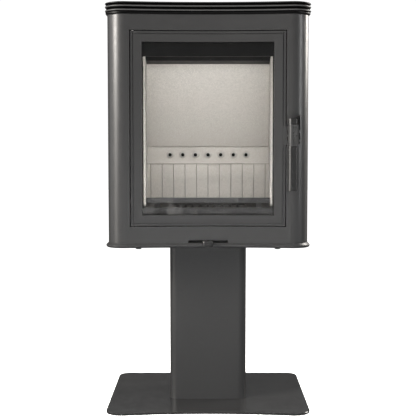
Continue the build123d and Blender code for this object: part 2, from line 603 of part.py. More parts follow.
def round_grip(bar, radius):
    """Round a bar's front left upright edge with a large radius and the other three a little."""
    upright = bar.edges().filter_by(Axis.Z).sort_by(lambda e: e.center().X + e.center().Y)
    bar = fillet(upright[1:], 1.2)
    corner = bar.edges().filter_by(Axis.Z).sort_by(lambda e: e.center().X + e.center().Y)[0]
    return fillet(corner, radius)


def make_handle():
    front = HANDLE_Y - 34
    rear = HANDLE_Y - 20
    core = block(HANDLE_X0 + 3, HANDLE_X1 - 3, front + 2, rear - 2, BLOCK_Z0 - 1, BLOCK_Z1 + 1)
    core = round_grip(core, GRIP_R - 4)
    lower = block(HANDLE_X0, HANDLE_X1, front, rear, HANDLE_Z0, BLOCK_Z0)
    upper = block(HANDLE_X0, HANDLE_X1, front, rear, BLOCK_Z1, HANDLE_Z1)
    lower = round_grip(lower, GRIP_R)
    upper = round_grip(upper, GRIP_R)
    lower = chamfer(edges_at(lower, HANDLE_Z0), 0.8)
    upper = chamfer(edges_at(upper, HANDLE_Z1), 0.8)
    save("handle_bar", lower + core + upper)

    grip = block(HANDLE_X0, BLOCK_X1, HANDLE_Y - 36, HANDLE_Y - 18, BLOCK_Z0, BLOCK_Z1)
    grip = round_grip(grip, GRIP_R + 1)
    for i in range(3):
        x = HANDLE_X0 + 13.5 + 3.2 * i
        grip -= rod_z(x, HANDLE_Y - 36.3, BLOCK_Z0 - 1, BLOCK_Z1 + 1, 1.2)
    grip -= round_grip(
        block(HANDLE_X0 + 3, HANDLE_X1 - 3, front + 2, rear - 2, BLOCK_Z0 - 2, BLOCK_Z1 + 2), GRIP_R - 4
    )
    lug = block(200.3, 205.7, HANDLE_Y - 19, PIVOT_Y, HANDLE_Z - 6.5, HANDLE_Z + 6.5)
    lug += rod_x(PIVOT_Y, HANDLE_Z, 200.3, 205.7, 6.5)
    grip += lug
    grip -= rod_x(PIVOT_Y, HANDLE_Z, 195, 215, PIVOT_R + RUNNING)
    screw_z = (684.0, 706.0)
    for z in screw_z:
        grip -= rod_x(HANDLE_Y - 26, z, HANDLE_X1 - 1, BLOCK_X1 + 1, 1.5)
    save("handle_block", grip)

    y = HANDLE_Y
    outline = [
        (y - 32, 676),
        (y - 22, 676),
        (y - 12, 712),
        (y + 13.5, 716),
        (y + 20, 716),
        (y + 20, 740.5),
        (y + 14.5, 740.5),
        (y + 13.5, 735),
        (y - 6, 735),
        (y - 8, 742),
        (y - 14, 742),
        (y - 32, 716),
    ]
    face = Plane.YZ * make_face(Polyline(*outline, close=True))
    hook = Pos(BLOCK_X1, 0, 0) * extrude(face, 2.6, dir=(1, 0, 0))
    for z in screw_z:
        hook -= rod_x(y - 26, z, BLOCK_X1 - 1, BLOCK_X1 + 4, 1.7)
    save("latch_hook", hook)
    face_x = BLOCK_X1 + 2.6
    screws = [
        rod_x(y - 26, z, HANDLE_X1 - 1, face_x, 1.45) + rod_x(y - 26, z, face_x, face_x + 1.8, 3.2)
        for z in screw_z
    ]
    save("latch_hook_screws", *screws)


os.makedirs("parts", exist_ok=True)
make_bottom(make_pedestal())
make_front()
make_panels()
make_top()
make_firebox()
make_lining()
make_door()
make_handle()
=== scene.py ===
import json
import math

import bpy
import numpy as np
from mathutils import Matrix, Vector


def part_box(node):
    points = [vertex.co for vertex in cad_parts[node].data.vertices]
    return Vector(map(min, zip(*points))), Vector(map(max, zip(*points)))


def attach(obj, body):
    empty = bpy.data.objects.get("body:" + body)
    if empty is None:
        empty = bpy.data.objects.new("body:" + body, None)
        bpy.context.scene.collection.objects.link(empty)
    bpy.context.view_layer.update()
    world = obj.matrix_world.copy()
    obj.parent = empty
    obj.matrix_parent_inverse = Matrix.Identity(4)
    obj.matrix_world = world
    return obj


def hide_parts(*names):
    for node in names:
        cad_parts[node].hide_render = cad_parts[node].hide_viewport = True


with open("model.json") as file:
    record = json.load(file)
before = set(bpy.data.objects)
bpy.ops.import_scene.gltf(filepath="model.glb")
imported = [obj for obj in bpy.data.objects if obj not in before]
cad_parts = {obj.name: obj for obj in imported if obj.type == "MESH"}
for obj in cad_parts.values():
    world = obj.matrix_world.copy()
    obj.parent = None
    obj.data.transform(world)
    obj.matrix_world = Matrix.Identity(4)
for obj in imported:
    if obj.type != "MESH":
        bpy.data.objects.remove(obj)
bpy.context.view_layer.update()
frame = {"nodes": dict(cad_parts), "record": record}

bl_info = {
    "name": "Wood burning stove on a pedestal",
    "version": (1, 0, 0),
    "blender": (4, 5, 0),
    "location": "3D View > Sidebar > Stove",
    "description": "Dresses the stove's CAD frame with finished pieces, materials and a studio",
    "category": "Add Mesh",
}

MM = 0.001
BEAD_PITCH = 10 * MM           # spacing of the crown's beads
BEAD_HEIGHT = 9.4 * MM
FIRST_BEAD = 11 * MM           # middle of the lowest bead above the crown's foot
HOLE_PITCH = 35.5 * MM         # spacing of the seven air holes
HOLE_RISE = 1 * MM             # how far the holes sit above the middle of their board
HOLE_ROW = 3.5 * HOLE_PITCH
BOARD_FACE = 120 * MM          # front face of the upper and lower rear boards
UPPER_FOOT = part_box("rear_upper_board")[0].z
SHADE_REACH = 200 * MM         # height over which the painted shade fades up the upper board
HEARTH_SHADE_FULL = 516 * MM        # painted shade: lining below this height is painted nearly black
HEARTH_SHADE_END = 524 * MM
BODY_LOW, BODY_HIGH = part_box("rear_panel")
CROWN_LOW, CROWN_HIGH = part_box("crown")
GLASS_LOW, GLASS_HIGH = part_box("door_glass")
SEAL_LOW, SEAL_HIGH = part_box("door_rope_seal")


# ---- sizes and colours a user would change ---------------------------------------------------
class StoveShape(bpy.types.PropertyGroup):
    """Sizes of the pieces that are worked out here and not in the CAD."""

    hollow_radius: bpy.props.FloatProperty(
        name="Hollow radius", description="Radius of the hollow curve of the front",
        default=1.4, min=0.5, unit="LENGTH", subtype="DISTANCE")
    corner_radius: bpy.props.FloatProperty(
        name="Front corner radius", description="Radius of the two large front corners",
        default=0.04, min=0.01, unit="LENGTH", subtype="DISTANCE")
    back_radius: bpy.props.FloatProperty(
        name="Back corner radius", description="Radius of the two back corners",
        default=0.02, min=0.013, unit="LENGTH", subtype="DISTANCE")
    bead_proud: bpy.props.FloatProperty(
        name="Bead projection", description="How far the crown's beads stand out from the body",
        default=0.00595, min=0.004, unit="LENGTH", subtype="DISTANCE")
    pane_thickness: bpy.props.FloatProperty(
        name="Pane thickness", description="Thickness of the door's glass",
        default=0.004, min=0.002, unit="LENGTH", subtype="DISTANCE")
    pane_depth: bpy.props.FloatProperty(
        name="Pane depth", description="Depth of the middle of the glass behind the front curve",
        default=0.016, min=0.014, unit="LENGTH", subtype="DISTANCE")
    rope_width: bpy.props.FloatProperty(
        name="Rope width", description="Width of the door's rope seal",
        default=0.0088, min=0.004, unit="LENGTH", subtype="DISTANCE")
    rope_pitch: bpy.props.FloatProperty(
        name="Rope pitch", description="Length of one turn of a strand of the rope seal",
        default=0.032, min=0.01, unit="LENGTH", subtype="DISTANCE")
    knob_squareness: bpy.props.FloatProperty(
        name="Knob squareness", description="2 makes an ellipsoid, larger values a rounded block",
        default=5.0, min=2.0, max=10.0)


class StoveColours(bpy.types.PropertyGroup):
    """Base colours of the finishes, one for each material slot of the record."""

    stove_paint: bpy.props.FloatVectorProperty(
        name="Stove paint", description="Semi-matt grey paint of the body and pedestal",
        default=(0.0185, 0.0185, 0.0187), min=0, max=1, subtype="COLOR")
    crown_paint: bpy.props.FloatVectorProperty(
        name="Crown paint", description="Paint of the moulded crown",
        default=(0.046, 0.046, 0.0463), min=0, max=1, subtype="COLOR")
    base_paint: bpy.props.FloatVectorProperty(
        name="Base paint", description="Smoother paint of the base plate",
        default=(0.0175, 0.0175, 0.0177), min=0, max=1, subtype="COLOR")
    inner_steel: bpy.props.FloatVectorProperty(
        name="Firebox steel", description="Heat-proof paint inside the firebox",
        default=(0.007, 0.0069, 0.0068), min=0, max=1, subtype="COLOR")
    guard_steel: bpy.props.FloatVectorProperty(
        name="Log guard", description="Heat-worn steel of the log guard",
        default=(0.058, 0.0575, 0.057), min=0, max=1, subtype="COLOR")
    cast_iron: bpy.props.FloatVectorProperty(
        name="Cast iron", description="Black cast iron of the grate and sill",
        default=(0.032, 0.0316, 0.0312), min=0, max=1, subtype="COLOR")
    bright_steel: bpy.props.FloatVectorProperty(
        name="Screws", description="Zinc plated steel",
        default=(0.5, 0.5, 0.51), min=0, max=1, subtype="COLOR")
    handle_paint: bpy.props.FloatVectorProperty(
        name="Handle paint", description="Satin black paint of the handle, latch and knob",
        default=(0.01, 0.01, 0.01), min=0, max=1, subtype="COLOR")
    board: bpy.props.FloatVectorProperty(
        name="Lining board", description="Pressed vermiculite lining",
        default=(0.7, 0.664, 0.615), min=0, max=1, subtype="COLOR")
    glass: bpy.props.FloatVectorProperty(
        name="Glass tint", description="Tint of the ceramic glass",
        default=(0.97, 0.97, 0.967), min=0, max=1, subtype="COLOR")
    rope: bpy.props.FloatVectorProperty(
        name="Rope", description="Graphited glass-fibre rope",
        default=(0.035, 0.035, 0.036), min=0, max=1, subtype="COLOR")


class StoveStage(bpy.types.PropertyGroup):
    """The studio round the stove."""

    lens: bpy.props.FloatProperty(
        name="Lens", description="Focal length of the camera in millimetres", default=85.0, min=20.0)
    camera_place: bpy.props.FloatVectorProperty(
        name="Camera", description="Where the camera stands",
        default=(0.0, -2.63, 0.675), subtype="TRANSLATION", unit="LENGTH")
    camera_pitch: bpy.props.FloatProperty(
        name="Camera pitch", description="How far the camera looks down",
        default=math.radians(3.7), subtype="ANGLE")
    sky: bpy.props.FloatProperty(
        name="Room light", description="Strength of the even light from all round", default=0.1, min=0.0)
    lamp_scale: bpy.props.FloatProperty(
        name="Lamp strength", description="Factor on the power of every lamp", default=1.0, min=0.0)


# ---- materials -------------------------------------------------------------------------------
class Finish:
    """A material in the making: its node tree, its shader and where patterns are read."""

    def __init__(self, name, roughness, metallic=0.0):
        self.material = bpy.data.materials.new(name)
        self.material.use_nodes = True
        self.tree = self.material.node_tree
        self.shader = self.tree.nodes["Principled BSDF"]
        self.shader.inputs["Roughness"].default_value = roughness
        self.shader.inputs["Metallic"].default_value = metallic
        self.place = self.node("ShaderNodeTexCoord").outputs["Object"]

    def node(self, kind, inputs=None, **settings):
        """Add a node. Each input takes a value, or another node's output to link to."""
        made = self.tree.nodes.new(kind)
        for setting, value in settings.items():
            setattr(made, setting, value)
        for socket, value in (inputs or {}).items():
            if isinstance(value, bpy.types.NodeSocket):
                self.tree.links.new(value, made.inputs[socket])
            else:
                made.inputs[socket].default_value = value
        return made

    def stretch(self, scale):
        """The pattern's place, drawn out differently along each axis."""
        return self.node("ShaderNodeMapping", {"Vector": self.place, "Scale": scale}).outputs[0]

    def noise(self, scale, detail=2.0, rough=0.5, place=None):
        values = {"Vector": place or self.place, "Scale": scale, "Detail": detail, "Roughness": rough}
        return self.node("ShaderNodeTexNoise", values).outputs[0]

    def cells(self, scale, output="Distance"):
        return self.node("ShaderNodeTexVoronoi", {"Vector": self.place, "Scale": scale}).outputs[output]

    def span(self, value, low, high, to_low=0.0, to_high=1.0):
        """A value rescaled from one span to another and held inside it."""
        values = {0: value, 1: low, 2: high, 3: to_low, 4: to_high}
        return self.node("ShaderNodeMapRange", values).outputs[0]

    def sum(self, kind, first, second):
        return self.node("ShaderNodeMath", {0: first, 1: second}, operation=kind).outputs[0]

    def mix(self, share, first, second):
        """Blend of two colours."""
        values = {0: share, 6: first, 7: second}
        return self.node("ShaderNodeMix", values, data_type="RGBA").outputs[2]

    def height(self, value, strength, distance, under=None):
        """Bump from a value, over another bump if there is one."""
        values = {"Height": value, "Strength": strength, "Distance": distance}
        if under:
            values["Normal"] = under
        return self.node("ShaderNodeBump", values).outputs[0]

    def axis(self, name):
        return self.node("ShaderNodeSeparateXYZ", {0: self.place}).outputs[name]

    def colour(self):
        """The pattern that the base colour has now."""
        return self.shader.inputs["Base Color"].links[0].from_socket

    def set(self, socket, value):
        """Give the shader a value or a pattern."""
        if isinstance(value, bpy.types.NodeSocket):
            self.tree.links.new(value, self.shader.inputs[socket])
        else:
            self.shader.inputs[socket].default_value = value
        return self


def shade(colour, factor):
    """A colour made lighter or darker, with full alpha."""
    return tuple(min(1.0, channel * factor) for channel in colour) + (1.0,)


def paint(name, colour, rough, grain=0.13, peel=0.2):
    """Sprayed heat-proof paint: fine speckle, slow drift in tone and a faint orange peel."""
    finish = Finish(name, rough)
    speck = finish.span(finish.noise(520.0, 3.0, 0.7), 0.32, 0.68)
    drift = finish.span(finish.noise(4.0, 3.0), 0.3, 0.7)
    tone = finish.mix(speck, shade(colour, 1 - grain), shade(colour, 1 + grain))
    tone = finish.mix(finish.sum("MULTIPLY", drift, 0.35), tone, shade(colour, 1.12))
    finish.set("Base Color", tone)
    finish.set("Roughness", finish.span(finish.noise(70.0, 3.0), 0.3, 0.7, rough - 0.04, rough + 0.05))
    peel_height = finish.height(finish.noise(900.0, 1.0), peel, 0.00012)
    finish.set("Normal", finish.height(finish.noise(260.0, 2.0), peel * 0.6, 0.0002, peel_height))
    return finish


def crown_paint(name, colour):
    """The stove paint with painted shade: much darker where it lies deep between the crown's beads."""
    finish = paint(name, colour, 0.4)
    deep = finish.node("ShaderNodeAttribute", attribute_name="groove").outputs["Fac"]
    # painted shade: the paint turns nearly black with the groove depth stored on the crown's points
    dark = finish.mix(finish.span(deep, 0.02, 0.4), finish.colour(), shade(colour, 0.04))
    return finish.set("Base Color", dark).set("Specular IOR Level", 0.25)


def satin_paint(name, colour):
    """Smoother, shinier coat for the parts that are held."""
    return paint(name, colour, 0.22, 0.1, 0.1).set("Specular IOR Level", 1.0)


def sooted_steel(name, colour):
    """Matt black heat-proof paint with a pale film of ash in blotches."""
    finish = paint(name, colour, 0.6, 0.2, 0.3)
    blotch = finish.span(finish.noise(14.0, 5.0, 0.6), 0.45, 0.72, 0.0, 0.3)
    dusty = finish.mix(blotch, finish.colour(), shade(colour, 2.6))
    return finish.set("Base Color", dusty).set("Specular IOR Level", 0.2)


def cast_iron(name, colour):
    """Sand cast iron: coarse grain with worn, slightly shinier high spots."""
    finish = Finish(name, 0.55)
    grain = finish.noise(330.0, 4.0, 0.65)
    lump = finish.noise(45.0, 3.0)
    tone = finish.mix(finish.span(grain, 0.35, 0.7), shade(colour, 0.65), shade(colour, 1.6))
    finish.set("Base Color", tone)
    finish.set("Roughness", finish.span(lump, 0.3, 0.7, 0.45, 0.65))
    return finish.set("Normal", finish.height(grain, 0.5, 0.0005, finish.height(lump, 0.3, 0.001)))


def plated_steel(name, colour):
    """Zinc plated steel with turning marks and a slightly uneven shine."""
    finish = Finish(name, 0.32, 1.0)
    marks = finish.noise(900.0, 2.0, 0.6, finish.stretch((1.0, 0.12, 1.0)))
    finish.set("Base Color", finish.mix(marks, shade(colour, 0.75), shade(colour, 1.2)))
    finish.set("Roughness", finish.span(marks, 0.3, 0.7, 0.24, 0.42))
    return finish.set("Normal", finish.height(marks, 0.2, 0.0001))


def vermiculite(name, colour):
    """Pressed board of small flakes: pale grains, brown flecks and pits, with painted shade that makes the
    hearth nearly black.
    """
    finish = Finish(name, 0.93)
    flake = finish.node("ShaderNodeSeparateColor", {0: finish.cells(420.0, "Color")}).outputs[0]
    pale = finish.mix(finish.span(flake, 0.15, 0.85), shade(colour, 0.91), shade(colour, 1.07))
    brown = finish.span(finish.noise(300.0, 4.0, 0.7), 0.62, 0.72, 0.0, 0.35)
    flecked = finish.mix(brown, pale, (0.42, 0.34, 0.24, 1.0))
    cloud = finish.span(finish.noise(9.0, 4.0, 0.55), 0.35, 0.7, 0.0, 0.22)
    clouded = finish.mix(cloud, flecked, shade(colour, 0.8))
    # painted shade: lining low in the hearth, under the log guard and sill, is painted nearly black
    hearth = finish.span(finish.axis("Z"), HEARTH_SHADE_FULL, HEARTH_SHADE_END, 0.97, 0.0)
    finish.set("Base Color", finish.mix(hearth, clouded, (0.006, 0.0059, 0.0058, 1.0)))
    pits = finish.height(finish.cells(520.0), 0.3, 0.0004)
    return finish.set("Normal", finish.height(finish.noise(140.0, 5.0, 0.65), 0.1, 0.0006, pits))


def rear_board(name, colour):
    """The lining board at the back, with painted shade: greyer low down, and dark where it is grooved.

    The painted shade is strongest at the foot of the upper board, a little weaker on the air board
    below it, and fades out near the hearth.
    """
    finish = vermiculite(name, colour)
    height = finish.axis("Z")
    # painted shade: the board is greyed low down, most at the foot of the upper board, less on the air board
    # and least near the hearth
    upper = finish.span(height, UPPER_FOOT - 0.0005, UPPER_FOOT + 0.0005, 0.0, 0.2)
    lower = finish.span(height, 0.53, 0.6, 0.2, 0.8)
    smoke = finish.span(height, UPPER_FOOT, UPPER_FOOT + SHADE_REACH, 0.8, 0.0)
    share = finish.sum("MULTIPLY", smoke, finish.sum("ADD", upper, lower))
    painted_shade_tone = finish.mix(share, finish.colour(), (0.28, 0.26, 0.235, 1.0))
    # painted shade in the grooves and the joint that lie behind the board face
    groove_shade = finish.span(finish.axis("Y"), BOARD_FACE + 0.0006, BOARD_FACE + 0.0016, 0.0, 0.7)
    return finish.set("Base Color", finish.mix(groove_shade, painted_shade_tone, (0.2, 0.19, 0.17, 1.0)))


def air_board(name, colour):
    """The rear board with a grey ring of painted shade in each air hole's countersink.

    Distance from the nearest hole is found by folding X over the pitch of the holes.
    """
    finish = rear_board(name, colour)
    low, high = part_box("rear_air_board")
    fold = finish.node("ShaderNodeMath", {0: finish.axis("X"), 1: HOLE_PITCH / 2, 2: -HOLE_PITCH / 2},
                       operation="WRAP").outputs[0]
    rise = finish.sum("SUBTRACT", finish.axis("Z"), (low.z + high.z) / 2 + HOLE_RISE)
    squares = finish.sum("ADD", finish.sum("POWER", fold, 2.0), finish.sum("POWER", rise, 2.0))
    distance = finish.sum("SQRT", squares, 0.5)
    inside = finish.span(finish.sum("ABSOLUTE", finish.axis("X"), 0.5), HOLE_ROW, HOLE_ROW + 0.001, 0.6, 0.0)
    # painted shade in the countersinks round the air holes
    ring = finish.sum("MULTIPLY", finish.span(distance, 0.0075, 0.0105, 1.0, 0.0), inside)
    return finish.set("Base Color", finish.mix(ring, finish.colour(), (0.42, 0.41, 0.39, 1.0)))


def ceramic_glass(name, colour):
    """Clear thin pane: a sharp mirror share that grows at a glancing angle, and a faint smoke film."""
    finish = Finish(name, 0.03, 1.0)
    smudge = finish.span(finish.noise(55.0, 3.0, 0.5, finish.stretch((1.0, 1.0, 0.2))), 0.5, 0.7)
    low = finish.span(finish.axis("Z"), 0.5, 0.54, 1.0, 0.03)
    left = finish.span(finish.axis("X"), 0.0, 0.05, 1.0, 0.25)
    film = finish.sum("MULTIPLY", smudge, finish.sum("MULTIPLY", low, left))
    mirror = finish.node("ShaderNodeFresnel", {"IOR": 1.47}).outputs[0]
    haze = finish.sum("MULTIPLY", film, 0.055)
    share = finish.sum("ADD", mirror, haze)
    finish.set("Base Color", finish.mix(film, shade(colour, 1.0), (0.5, 0.48, 0.45, 1.0)))
    finish.set("Metallic", finish.sum("DIVIDE", mirror, share))
    clear = finish.node("ShaderNodeBsdfTransparent", {"Color": shade(colour, 1.0)}).outputs[0]
    pane = finish.node("ShaderNodeMixShader", {0: share, 1: clear, 2: finish.shader.outputs[0]})
    finish.tree.links.new(pane.outputs[0], finish.tree.nodes["Material Output"].inputs["Surface"])
    return finish


def rope_fibre(name, colour):
    """Glass-fibre rope: strands shaded from the braid's own height, with loose dull fibres."""
    finish = Finish(name, 0.85)
    fibre = finish.noise(1500.0, 3.0, 0.7, finish.stretch((1.0, 1.0, 0.35)))
    tone = finish.mix(finish.span(fibre, 0.35, 0.65), shade(colour, 0.6), shade(colour, 2.2))
    finish.set("Base Color", tone)
    finish.set("Sheen Weight", 0.2)
    return finish.set("Normal", finish.height(fibre, 0.6, 0.0004))


def finishes(colours):
    """The finish of each material slot of the record, and those of OWN_FINISH and the crown."""
    return {
        "stove_paint": paint("Stove paint", colours.stove_paint, 0.36).material,
        "crown_paint": crown_paint("Crown paint", colours.crown_paint).material,
        "base_paint": paint("Base paint", colours.base_paint, 0.2, 0.1, 0.1).material,
        "inner_steel": sooted_steel("Firebox steel", colours.inner_steel).material,
        "guard_steel": sooted_steel("Log guard steel", colours.guard_steel).material,
        "cast_black": cast_iron("Cast iron", colours.cast_iron).material,
        "bright_steel": plated_steel("Plated steel", colours.bright_steel).material,
        "handle_paint": satin_paint("Handle paint", colours.handle_paint).material,
        "vermiculite": vermiculite("Lining board", colours.board).material,
        "rear_board": rear_board("Rear board", colours.board).material,
        "air_board": air_board("Air board", colours.board).material,
        "block_paint": paint("Block paint", colours.stove_paint, 0.3, 0.1, 0.1).material,
        "door_glass": ceramic_glass("Ceramic glass", colours.glass).material,
        "rope": rope_fibre("Rope fibre", colours.rope).material,
    }


# ---- surfaces --------------------------------------------------------------------------------
def skin(name, grid, wrap_rows=False, wrap_columns=False, crease=math.radians(40)):
    """Closed mesh over a grid of points, with one quad between each point and its neighbours.

    A direction that wraps joins its last line to its first. Points that fall together are
    welded, and the faces are turned outwards if the volume they enclose comes out negative.
    """
    rows, columns = grid.shape[:2]
    index = np.arange(rows * columns).reshape(rows, columns)
    if wrap_rows:
        index = np.vstack([index, index[:1]])
    if wrap_columns:
        index = np.hstack([index, index[:, :1]])
    corners = [index[:-1, :-1], index[1:, :-1], index[1:, 1:], index[:-1, 1:]]
    quads = np.stack(corners, axis=-1).reshape(-1, 4)
    points = grid.reshape(-1, 3)
    _, first, owner = np.unique(np.round(points, 7), axis=0, return_index=True, return_inverse=True)
    points = points[first]
    quads = owner.reshape(-1)[quads]
    a, b, c, d = (points[quads[:, i]] for i in range(4))
    volume = np.einsum("ij,ij->", a, np.cross(b, c)) + np.einsum("ij,ij->", a, np.cross(c, d))
    if volume < 0:
        quads = quads[:, ::-1]
    faces = [list(dict.fromkeys(quad)) for quad in quads.tolist()]
    faces = [face for face in faces if len(face) > 2]
    mesh = bpy.data.meshes.new(name)
    mesh.from_pydata(points.tolist(), [], faces)
    mesh.validate()
    mesh.polygons.foreach_set("use_smooth", np.ones(len(mesh.polygons), dtype=bool))
    mesh.set_sharp_from_angle(angle=crease)
    return mesh


def add_piece(name, mesh, body, replaced, material):
    """Put a new piece in the scene, riding on its CAD body in place of the nodes it stands for."""
    piece = bpy.data.objects.new(name, mesh)
    bpy.context.scene.collection.objects.link(piece)
    mesh.materials.append(material)
    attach(piece, body)
    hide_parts(*replaced)
    return piece


def hollow(shape):
    """Centre of the front's hollow curve and of the right front corner, seen from above."""
    corner_x = BODY_HIGH.x - shape.corner_radius
    corner_y = CROWN_LOW.y + 0.006 + shape.corner_radius
    reach = shape.hollow_radius + shape.corner_radius
    return corner_y - math.sqrt(reach ** 2 - corner_x ** 2), corner_x, corner_y


def front_y(shape, x, depth):
    """Y at x on a surface that lies depth behind the front: a larger circle about the same centre."""
    centre_y = hollow(shape)[0]
    return centre_y + np.sqrt((shape.hollow_radius + depth) ** 2 - x ** 2)


def body_outline(shape, steps=24):
    """Outline of the body seen from above, with its outward normals, as four columns.

    Going round anticlockwise: the hollow front is an arc about the far centre, whose normal
    points back at that centre; each corner is an arc about its own centre, whose normal is
    its own angle; the sides and the back are the straight lines between them.
    """
    centre_y, corner_x, corner_y = hollow(shape)
    lean = math.atan2(corner_x, corner_y - centre_y)
    turn = np.linspace(-lean, lean, 4 * steps, endpoint=False)
    front = np.stack([shape.hollow_radius * np.sin(turn), centre_y + shape.hollow_radius * np.cos(turn),
                      -np.sin(turn), -np.cos(turn)], axis=1)

    def corner(x, y, radius, start, end):
        angle = np.linspace(start, end, steps)
        return np.stack([x + radius * np.cos(angle), y + radius * np.sin(angle),
                         np.cos(angle), np.sin(angle)], axis=1)

    quarter = math.pi / 2
    back_x = BODY_HIGH.x - shape.back_radius
    back_y = BODY_HIGH.y - shape.back_radius
    return np.concatenate([
        front,
        corner(corner_x, corner_y, shape.corner_radius, -quarter - lean, 0.0),
        corner(back_x, back_y, shape.back_radius, 0.0, quarter),
        corner(-back_x, back_y, shape.back_radius, quarter, 2 * quarter),
        corner(-corner_x, corner_y, shape.corner_radius, 2 * quarter, 3 * quarter + lean)[:-1],
    ])


def crown_profile(shape, steps=14):
    """Section of the crown as points of projection and height, from its inner foot outwards.

    Each bead is half an ellipse: its projection is the core plus the cosine of an angle that
    goes from straight down to straight up, and its height follows the sine.
    """
    foot = CROWN_LOW.z
    top = CROWN_HIGH.z
    core = -0.0065
    angle = np.linspace(-math.pi / 2, math.pi / 2, steps)
    loop = [(-0.012, foot), (0.0001, foot), (0.0045, foot + 0.0044), (0.0045, foot + 0.006)]
    lows = [foot + FIRST_BEAD + place * BEAD_PITCH - BEAD_HEIGHT / 2 for place in range(3)]
    for low, high in zip(lows, (lows[0] + BEAD_HEIGHT, lows[1] + BEAD_HEIGHT, top)):
        out = core + (shape.bead_proud - core) * np.cos(angle)
        up = (low + high) / 2 + (high - low) / 2 * np.sin(angle)
        loop += list(zip(out, up))
    return np.array(loop + [(-0.008, top), (-0.008, top - 0.008), (-0.012, top - 0.008)])


def crown_grid(shape):
    """The crown: its profile carried round the body's outline, projection along the normal."""
    outline = body_outline(shape)
    profile = crown_profile(shape)
    flat = outline[:, None, :2] + outline[:, None, 2:] * profile[None, :, :1]
    rise = np.broadcast_to(profile[None, :, 1:], (len(outline), len(profile), 1))
    return np.concatenate([flat, rise], axis=2)


def mark_grooves(mesh):
    """Store how deep each point lies in a groove between beads, 0 on a bead's tip and 1 at the core, for the
    crown paint's painted shade.

    The depth is the square of the sine of the point's height above the lowest bead's middle,
    with half a turn for each bead.
    """
    points = np.empty(len(mesh.vertices) * 3)
    mesh.vertices.foreach_get("co", points)
    height = points.reshape(-1, 3)[:, 2] - CROWN_LOW.z - FIRST_BEAD
    groove = np.sin(math.pi * height / BEAD_PITCH) ** 2
    mesh.attributes.new("groove", "FLOAT", "POINT").data.foreach_set("value", groove)


def pane_grid(shape, across=72, up=96):
    """The door's pane: front and back sheets on the hollow curve, with a rounded edge between.

    x and z follow the cosine of a parameter, which crowds the lines at the rim. The sheets lie
    half a thickness each side of the middle depth, and within one half thickness of the rim
    that offset falls as a quarter circle to nothing, so both sheets meet there.
    """
    half = shape.pane_thickness / 2
    rim = np.sin(np.linspace(0, math.pi / 2, 7)) ** 2 * half
    length = GLASS_HIGH.x - GLASS_LOW.x
    tall = GLASS_HIGH.z - GLASS_LOW.z
    run = np.concatenate([rim, np.linspace(half, length - half, across)[1:-1], length - rim[::-1]])
    rise = np.concatenate([rim, np.linspace(half, tall - half, up)[1:-1], tall - rim[::-1]])

    def falloff(distance, whole):
        near = np.minimum(np.minimum(distance, whole - distance) / half, 1.0)
        return np.sqrt(np.maximum(0.0, 1 - (1 - near) ** 2))

    x, z = np.meshgrid(run, rise, indexing="ij")
    offset = half * falloff(x, length) * falloff(z, tall)
    x = x + GLASS_LOW.x
    z = z + GLASS_LOW.z
    sheets = []
    for side in (-1, 1):
        y = front_y(shape, x, shape.pane_depth + side * offset)
        sheets.append(np.stack([x, y, z], axis=2))
    return np.concatenate([sheets[0], sheets[1][::-1]], axis=0)


def rope_grid(shape, step=0.00135, around=20, bend=0.014):
    """The braided rope: an oval section carried round a rounded rectangle on the hollow curve.

    The centre line is four straight runs and four quarter circles, taken as one length s.
    At section angle w the oval is scaled by 0.9 plus a tenth of the larger of
    cos(n w + k s) and cos(n w - k s), which are strands that wind opposite ways.
    """
    half_wide = shape.rope_width / 2
    half_deep = 0.0034
    reach_x = SEAL_HIGH.x - half_wide - 0.0001
    low = SEAL_LOW.z + half_wide + 0.0001
    high = SEAL_HIGH.z - half_wide - 0.0001
    inner_x = reach_x - bend
    corners = [(inner_x, low + bend, -0.5), (inner_x, high - bend, 0.0),
               (-inner_x, high - bend, 0.5), (-inner_x, low + bend, 1.0)]
    line = []
    for place, (x, z, start) in enumerate(corners):
        angle = math.pi * np.linspace(start, start + 0.5, 17)
        arc = np.stack([x + bend * np.cos(angle), z + bend * np.sin(angle),
                        np.cos(angle), np.sin(angle)], axis=1)
        following = corners[(place + 1) % 4]
        end_angle = angle[-1]
        across = bend * np.array([math.cos(end_angle), math.sin(end_angle)])
        goal = np.array(following[:2]) + across
        count = int(np.linalg.norm(goal - arc[-1, :2]) / step)
        share = np.linspace(0, 1, count, endpoint=False)[1:, None]
        run = arc[-1, :2] + (goal - arc[-1, :2]) * share
        normal = np.broadcast_to(arc[-1, 2:], run.shape)
        line += [arc, np.concatenate([run, normal], axis=1)]
    line = np.concatenate(line)
    gaps = np.linalg.norm(np.diff(line[:, :2], axis=0, append=line[:1, :2]), axis=1)
    along = np.concatenate([[0.0], np.cumsum(gaps)[:-1]])
    turns = round(gaps.sum() / shape.rope_pitch)
    strands = 4
    s = (2 * math.pi * turns * strands / gaps.sum() * along)[:, None]
    w = np.linspace(0, 2 * math.pi, around, endpoint=False)[None, :]
    swell = 0.9 + 0.1 * np.maximum(np.cos(strands * w + s), np.cos(strands * w - s))
    out = half_wide * swell * np.cos(w)
    deep = 0.0155 + half_deep * swell * np.sin(w)
    x = line[:, :1] + line[:, 2:3] * out
    z = line[:, 1:2] + line[:, 3:] * out
    return np.stack([x, front_y(shape, x, deep), z], axis=2)


def knob_grid(shape, around=64, up=40):
    """The air lever's knob: a rounded block, each coordinate a signed power of a sine or cosine."""
    low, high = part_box("air_lever_knob")
    middle = (low + high) / 2
    reach = (high - low) / 2
    power = 2 / shape.knob_squareness
    w = np.linspace(-math.pi, math.pi, around, endpoint=False)[:, None]
    t = np.linspace(-math.pi / 2, math.pi / 2, up)[None, :]

    def signed(value):
        return np.sign(value) * np.abs(value) ** power

    ring = signed(np.where(np.abs(np.cos(t)) < 1e-9, 0.0, np.cos(t)))
    parts = [signed(np.cos(w)) * ring, signed(np.sin(w)) * ring, signed(np.sin(t)) + 0 * w]
    return np.stack([middle[i] + reach[i] * parts[i] for i in range(3)], axis=2)


